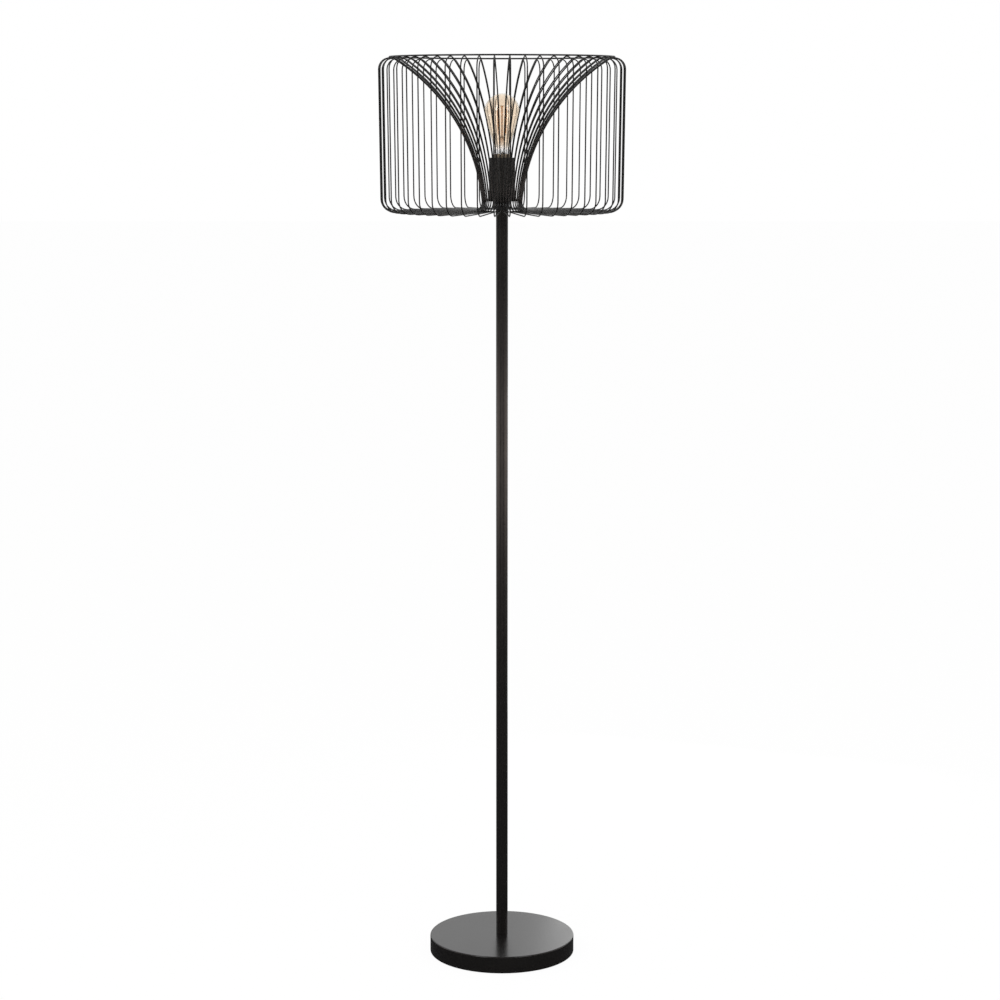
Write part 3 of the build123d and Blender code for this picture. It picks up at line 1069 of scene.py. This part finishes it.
@dataclass
class Bulb:
    """The filament bulb: pear-shaped glass on a screw cap, with its stem, strips and support wires.

    Args:
        radius: The glass's largest radius.
        wall: Its wall.
        flank: The flank's lean from upright, in degrees.
        neck: The neck's outer radius.
        neck_round: The radius between flank and neck.
        cap_radius: The cap's radius at the thread's crests.
        cap_rim: The radius of the plain rim above the thread.
        cap_sheet: The cap's sheet.
        strips: The number of filament strips.
        strip_radius: A strip's radius.
        strip_circle: The radius of the circle that the strips stand on.
        strip_in: How far a strip's foot stands inside that circle.
        strip_lean: How far its head leans out past its foot.
        wire: The support wires' radius.
    """

    radius: float = 32.0
    wall: float = 0.9
    flank: float = 16.2
    neck: float = 13.4
    neck_round: float = 45.0
    cap_radius: float = 13.1
    cap_rim: float = 14.4
    cap_sheet: float = 0.4
    strips: int = 6
    strip_radius: float = 0.9
    strip_circle: float = 9.0
    strip_in: float = 1.0
    strip_lean: float = 1.6
    wire: float = 0.3

    def outline(self, inset: float) -> np.ndarray:
        """The glass's outline this far inside its surface, from the top of the dome to the neck's foot.

        The dome is an arc of 90 degrees plus the flank's lean. The flank runs straight from its end
        to the neck, and an arc rounds their crossing.

        Args:
            inset: The distance inside the outer surface.

        Returns:
            The profile.
        """
        bottom, top = heights_of("bulb_glass")
        sweep = math.radians(90 + self.flank)
        dome = 1j * (top - self.radius) + 1j * (self.radius - inset) * np.exp(-1j * np.linspace(0, sweep, 49))
        neck = self.neck - inset
        end = dome[-1].real, dome[-1].imag, 0
        drop = (end[0] - neck) / math.tan(math.radians(self.flank))
        corners = [end, (neck, end[1] - drop, self.neck_round + inset), (neck, bottom, 0)]
        return np.concatenate([dome, rounded(corners, 16, closed=False)[1:]])

    def envelope(self) -> Surface:
        """The glass: the outer outline joined to the inner one, turned about the axis."""
        profile = np.concatenate([self.outline(0.0), self.outline(self.wall)[::-1]])
        return lathe(profile, segments=144, closed=False)

    def cap(self) -> Surface:
        """The cap: a rolled sleeve with a thread below and a finely fluted rim above.

        Returns:
            The closed surface.
        """
        bottom, top = heights_of("bulb_cap")
        rows, segments, overlap, gap, flutes, depth = 56, 180, 0.3, 0.4, 60, 0.25
        step = heights_of("bulb_glass")[0] - overlap
        thread_top = step - gap
        rim_in, sleeve_in = self.cap_rim - self.cap_sheet, self.cap_radius - self.cap_sheet
        up = np.linspace(bottom, thread_top, rows)
        rim = [
            (self.cap_radius, thread_top, 0),
            (self.cap_rim, step, 0.8),
            (self.cap_rim, top, 0.5),
            (rim_in, top, 0),
        ]
        edge = rounded(rim, 4, closed=False)[1:]
        inside = [rim_in + 1j * (step + 0.5), sleeve_in + 1j * step]
        profile = np.concatenate([self.cap_radius + 1j * up, edge, inside, sleeve_in + 1j * up[::-1]])
        on_rim = (profile.real > self.cap_rim - 0.1) & (profile.imag > step + 1) & (profile.imag < top - 0.6)
        wave = 0.5 - 0.5 * np.cos(2 * np.pi * flutes * np.arange(segments) / segments)
        thread = rolled_thread(profile, segments, bottom, thread_top)
        return lathe(profile, segments, relief=thread - depth * on_rim[:, None] * wave[None, :])

    def insulator(self) -> Surface:
        """The insulator: a shallow cone of glass between the cap and its contact.

        Returns:
            The closed surface.
        """
        bottom, top = heights_of("cap_insulator")
        wide, narrow = 10.5, 5.6
        corners = [(0, top, 0), (wide, top, 0.6), (narrow, bottom, 0.5), (0, bottom, 0)]
        return lathe(rounded(corners, 4, closed=False), segments=64, closed=False)

    def contact(self) -> Surface:
        """The contact: a flat drop of solder, a quarter of an ellipse turned about the axis.

        Returns:
            The closed surface.
        """
        bottom, top = heights_of("cap_tip")
        radius, t = 5.0, np.linspace(0, np.pi / 2, 9)
        drop = radius * np.sin(t) + 1j * (top - (top - bottom) * np.cos(t))
        return lathe(np.concatenate([drop, [1j * top]]), segments=48, closed=False)

    def mount(self) -> Surface:
        """The stem: a flared foot that narrows to the pinch, and a rod with a button on its end.

        The profile runs straight from knot to knot. A knot of the foot is its radius and its height
        above the foot, and one of the rod is its radius and its height under the rod's end.

        Returns:
            The closed surface.
        """
        bottom, top = heights_of("bulb_stem")
        gap, flats = 0.3, 6
        flare = self.neck - self.wall - gap
        foot = [(0, 0.3), (flare, 0), (flare, 0.9), (6.5, 6), (4.6, 13)]
        pinch = [(4.0, 22), (3.6, 30), (3.6, 35), (1.9, 38), (1.2, 41)]
        button = [(1.2, 5.0), (1.6, 3.2), (2.4, 1.7), (2.0, 0.5), (0, 0)]
        up = [radius + 1j * (bottom + height) for radius, height in foot + pinch]
        knots = np.array(up + [radius + 1j * (top - under) for radius, under in button])
        share = np.linspace(0, len(knots) - 1, flats * (len(knots) - 1) + 1)
        return lathe(np.interp(share, np.arange(len(knots)), knots), segments=48, closed=False)

    def strip(self) -> Surface:
        """One strip: an upright rod with rounded ends that leans out a little towards its top.

        Returns:
            The closed surface.
        """
        bottom, top = heights_of("bulb_filaments")
        s, bluntness = np.linspace(0, 1, 13), 24
        away = self.strip_circle - self.strip_in + self.strip_lean * s
        path = np.stack([away, 0 * s, bottom + (top - bottom) * s], -1)
        size = self.strip_radius * np.sqrt(1 - np.clip(2 * abs(s - 0.5), 0, 0.999) ** bluntness)
        return tube(path, size, sides=12)

    def supports(self) -> Surface:
        """The support wires of one strip, each a quarter of an ellipse.

        One runs from the stem's pinch up and out to the strip's foot, the other from the button
        out to its head.

        Returns:
            Both wires.
        """
        bottom, top = heights_of("bulb_filaments")
        pinch_height, pinch_radius, grip, arch, sunk = 34, 2.4, 0.6, 1.6, 0.5
        pinch, foot = heights_of("bulb_stem")[0] + pinch_height, self.strip_circle - self.strip_in
        head, t = foot + self.strip_lean, np.linspace(0, np.pi / 2, 9)
        away = pinch_radius + (foot - pinch_radius) * (1 - np.cos(t))
        lower = np.stack([away, 0 * t, pinch + (bottom + grip - pinch) * np.sin(t)], -1)
        upper = np.stack([head * np.sin(t), 0 * t, top - sunk + arch * np.cos(t)], -1)
        return tube(lower, self.wire, sides=8) + tube(upper, self.wire, sides=8)

    def build(self) -> None:
        """Makes the bulb's pieces."""
        start = 180 / self.strips
        strips, wires = (one.around_z(self.strips, start) for one in (self.strip(), self.supports()))
        make_piece("bulb_envelope", self.envelope(), AMBER_GLASS, "bulb_glass", Body.BULB)
        make_piece("bulb_screw_cap", self.cap(), ANTIQUE_BRASS, "bulb_cap", Body.BULB)
        make_piece("bulb_insulator", self.insulator(), VITRITE, "cap_insulator", Body.BULB)
        make_piece("bulb_contact", self.contact(), SOLDER, "cap_tip", Body.BULB)
        make_piece("bulb_mount", self.mount(), STEM_GLASS, "bulb_stem", Body.BULB, sharp=60)
        make_piece("bulb_strips", strips, PHOSPHOR, "bulb_filaments", Body.BULB, sharp=60)
        make_piece("bulb_wires", wires, NICKEL, "filament_supports", Body.BULB, sharp=60)


# ---------------------------------------------------------------- hidden pieces


@dataclass
class Hardware:
    """The CAD pieces that keep their own shape and get their finish here.

    Args:
        finishes: The finish of each node.
    """

    finishes: dict[str, Finish] = field(
        default_factory=lambda: {
            "base_weight": CEMENT,
            "pole_inserts": ZINC,
            "threaded_nipples": ZINC,
            "hex_nuts": ZINC,
            "flat_washers": ZINC,
            "holder_base": PHENOLIC,
            "centre_contact": BRASS,
            "terminal_screws": BRASS,
            "inner_lead": PVC,
        }
    )

    def dress(self) -> None:
        """Gives each node its material."""
        for node, finish in self.finishes.items():
            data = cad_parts[node].data
            data.materials.clear()
            data.materials.append(finish.material())
            log.info("%s: dressed in %s", node, finish.name)


# ---------------------------------------------------------------- studio


@dataclass(frozen=True)
class Softbox:
    """A soft rectangular lamp that the camera doesn't see.

    Args:
        name: The lamp's name.
        place: Where it stands, in metres.
        aim: The height on the pole that it points at, in metres.
        sides: Its width and height, in metres.
        power: Its power, in watts.
        colour: Its colour, as sRGB hex.
    """

    name: str
    place: tuple[float, float, float]
    aim: float
    sides: tuple[float, float]
    power: float
    colour: str = "#ffffff"

    def build(self) -> None:
        """Adds the lamp, turned towards the pole."""
        data = bpy.data.lights.new(self.name, "AREA")
        data.shape, data.energy, data.color = "RECTANGLE", self.power, linear(self.colour)[:3]
        data.size, data.size_y = self.sides
        made = bpy.data.objects.new(self.name, data)
        bpy.context.scene.collection.objects.link(made)
        made.visible_camera = False
        x, y, z = made.location = self.place
        made.rotation_euler = (math.atan2(math.hypot(x, y), z - self.aim), 0, math.atan2(y, x) + math.pi / 2)


SOFTBOXES = (
    Softbox("key_lamp", (-1.95, -2.35, 2.75), 1.2, (1.2, 1.9), 40.0),
    Softbox("fill_lamp", (1.95, -2.35, 2.75), 1.2, (1.2, 1.9), 28.0),
    Softbox("low_front_lamp", (0.0, -3.4, 0.5), 0.9, (3.6, 0.35), 8.5, "#ffeee4"),
    Softbox("low_left_lamp", (-2.9, -0.8, 0.55), 0.9, (4.5, 0.35), 13.0, "#ffece2"),
    Softbox("low_right_lamp", (2.9, -0.8, 0.55), 0.9, (4.5, 0.35), 14.0, "#ffece2"),
    Softbox("rear_lamp", (0.55, 1.4, 0.5), 0.03, (0.9, 0.9), 2.6),
)


@dataclass
class Studio:
    """The floor, the white background, the soft lamps and the camera.

    Args:
        camera_distance: From the pole's axis, in metres.
        camera_height: Above the floor, in metres.
        pitch: How far the camera looks down, in degrees.
        lens: The focal length in millimetres, for a 36 mm sensor.
        aside: How far the camera stands to the left, in metres.
        floor_size: The floor's side, in metres.
        floor_colour: The floor's own colour, as one linear level.
        floor_white: The share of plain white that the eye sees in the floor, which leaves a faint shadow.
        daylight: The strength of the even light from all round.
        room_glow: The level of the dim room that the lamp's gloss mirrors in front.
        paper_glow: The level of the lit paper that it mirrors behind.
        ahead: The sines of the angles ahead between which the mirrored backdrop turns white.
        horizon: The sines of the angles above the floor between which it does so.
        paper: The distances behind the pole between which the mirrored floor turns lit, in metres.
    """

    camera_distance: float = 4.6473
    camera_height: float = 1.607
    pitch: float = 8.958
    lens: float = 90.85
    aside: float = 0.0037
    floor_size: float = 60.0
    floor_colour: float = 0.97
    floor_white: float = 0.96
    daylight: float = 0.75
    room_glow: float = 0.05
    paper_glow: float = 0.45
    ahead: tuple[float, float] = (-0.25, 0.3)
    horizon: tuple[float, float] = (0.02, 0.14)
    paper: tuple[float, float] = (0.0, 3.0)

    def rays(self, tree: Tree) -> tuple[bpy.types.Node, Socket]:
        """The two kinds of rays that see the studio as a picture.

        Args:
            tree: The node tree.

        Returns:
            The node that is 1 for rays from the eye or through glass, and the socket that is 1 for
            mirrored ones.
        """
        path = add_node(tree, "ShaderNodeLightPath", ()).outputs
        clear = path["Is Camera Ray"], path["Is Transmission Ray"]
        return add_node(tree, "ShaderNodeMath", clear, **LARGER), path["Is Glossy Ray"]

    def world(self) -> None:
        """A white surround that the eye and glass see, and an even grey that lights the lamp.

        Gloss mirrors the white backdrop ahead of the camera and the dim room behind it, as in a studio.
        """
        world = bpy.data.worlds.new("studio")
        bpy.context.scene.world = world
        world.use_nodes = True
        tree = world.node_tree
        tree.nodes.clear()
        clear, glossy = self.rays(tree)
        seen = add_node(tree, "ShaderNodeMath", (clear, glossy), **LARGER)
        way = add_node(tree, "ShaderNodeTexCoord", ()).outputs["Generated"]
        parts = add_node(tree, "ShaderNodeSeparateXYZ", (way,)).outputs
        across = parts["Y"], *self.ahead, 0.0, 1.0
        up = parts["Z"], *self.horizon, 0.0, 1.0 - self.room_glow
        ahead, above = (add_node(tree, "ShaderNodeMapRange", step, **SOFT_STEP) for step in (across, up))
        sums = ahead, above, self.room_glow
        mirrored = add_node(tree, "ShaderNodeMath", sums, operation="MULTIPLY_ADD")
        level = add_node(tree, "ShaderNodeMath", (mirrored, clear), **LARGER)
        light = add_node(tree, "ShaderNodeBackground", (WHITE, self.daylight))
        shown = add_node(tree, "ShaderNodeBackground", (WHITE, level))
        mix = add_node(tree, "ShaderNodeMixShader", (seen, light, shown))
        add_node(tree, "ShaderNodeOutputWorld", (mix,))

    def floor(self) -> None:
        """A pale matt floor that takes a faint shadow and runs out to white.

        Gloss mirrors it dim near the camera and lit behind the lamp.
        """
        mesh = bpy.data.meshes.new("studio_floor")
        corners = np.array([(-1, -1, 0), (1, -1, 0), (1, 1, 0), (-1, 1, 0)]) * self.floor_size / 2
        mesh.from_pydata(corners.tolist(), [], [(0, 1, 2, 3)])
        floor = bpy.data.objects.new("studio_floor", mesh)
        bpy.context.scene.collection.objects.link(floor)
        made = bpy.data.materials.new("white_floor")
        made.use_nodes = True
        tree = made.node_tree
        tree.nodes.clear()
        clear, glossy = self.rays(tree)
        place = add_node(tree, "ShaderNodeTexCoord", ()).outputs["Object"]
        behind = add_node(tree, "ShaderNodeSeparateXYZ", (place,)).outputs["Y"]
        levels = behind, *self.paper, self.room_glow, self.paper_glow
        mirrored = add_node(tree, "ShaderNodeMapRange", levels, **SOFT_STEP)
        level = add_node(tree, "ShaderNodeMath", (mirrored, clear), **LARGER)
        white = add_node(tree, "ShaderNodeMath", (clear, self.floor_white), operation="MULTIPLY")
        share = add_node(tree, "ShaderNodeMath", (white, glossy), **LARGER)
        matt = add_node(tree, "ShaderNodeBsdfDiffuse", ((*[self.floor_colour] * 3, 1.0),))
        glow = add_node(tree, "ShaderNodeEmission", (WHITE, level))
        mix = add_node(tree, "ShaderNodeMixShader", (share, matt, glow))
        add_node(tree, "ShaderNodeOutputMaterial", (mix,))
        mesh.materials.append(made)

    def camera(self) -> None:
        """The camera at the photograph's viewing angle."""
        data = bpy.data.cameras.new("camera")
        data.sensor_width, data.lens, data.clip_end = 36.0, self.lens, 100.0
        made = bpy.data.objects.new("camera", data)
        bpy.context.scene.collection.objects.link(made)
        made.location = (-self.aside, -self.camera_distance, self.camera_height)
        made.rotation_euler = (math.radians(90 - self.pitch), 0, 0)
        bpy.context.scene.camera = made

    def build(self) -> None:
        """Sets the studio up."""
        self.world()
        self.floor()
        for softbox in SOFTBOXES:
            softbox.build()
        self.camera()
        bpy.context.scene.view_settings.view_transform = "Standard"


def main() -> None:
    """Builds the lamp's pieces in order, then the studio."""
    logging.basicConfig(level=logging.INFO, format="%(message)s")
    Foot().build()
    Pole().build()
    Cage().build()
    LampHolder().build()
    Bulb().build()
    Hardware().dress()
    Studio().build()


if __name__ == "__main__":
    main()
